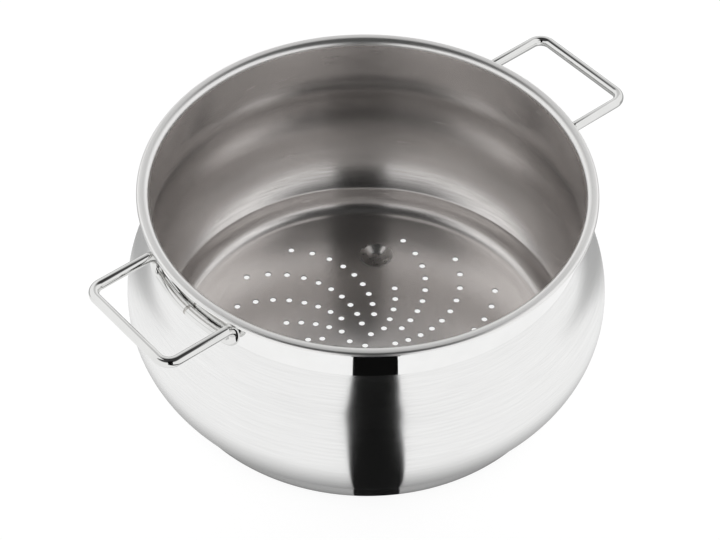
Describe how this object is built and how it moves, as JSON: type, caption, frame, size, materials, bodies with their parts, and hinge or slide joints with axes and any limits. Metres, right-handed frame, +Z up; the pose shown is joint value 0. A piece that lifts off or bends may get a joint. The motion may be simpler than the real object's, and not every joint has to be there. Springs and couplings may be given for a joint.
{
  "type": "steamer pot",
  "caption": "Bellied stainless steel steamer pot with a straight polished neck, flat rolled lip, perforated floor on pressed feet and welded loop handles of round rod.",
  "frame": {"origin": "under the middle of the pot, on the surface that its feet stand on", "axes": "+Z up along the pot's axis; X through both handles, with the right handle at +X"},
  "size_m": [0.3136, 0.258, 0.129],
  "materials": {
    "brushed_body": "fine circumferential brushing on the belly, mirror polish on neck and lip, satin inside",
    "polished_rod": "mirror-polished stainless rod",
    "weld_metal": "dull weld metal"
  },
  "bodies": {
    "root": {"pot_body": "brushed_body", "right_handle": "polished_rod", "right_handle_seam_weld": "weld_metal", "right_handle_bead_weld_a": "weld_metal", "right_handle_bead_weld_b": "weld_metal", "left_handle": "polished_rod", "left_handle_seam_weld": "weld_metal", "left_handle_bead_weld_a": "weld_metal", "left_handle_bead_weld_b": "weld_metal"}
  },
  "joints": []
}
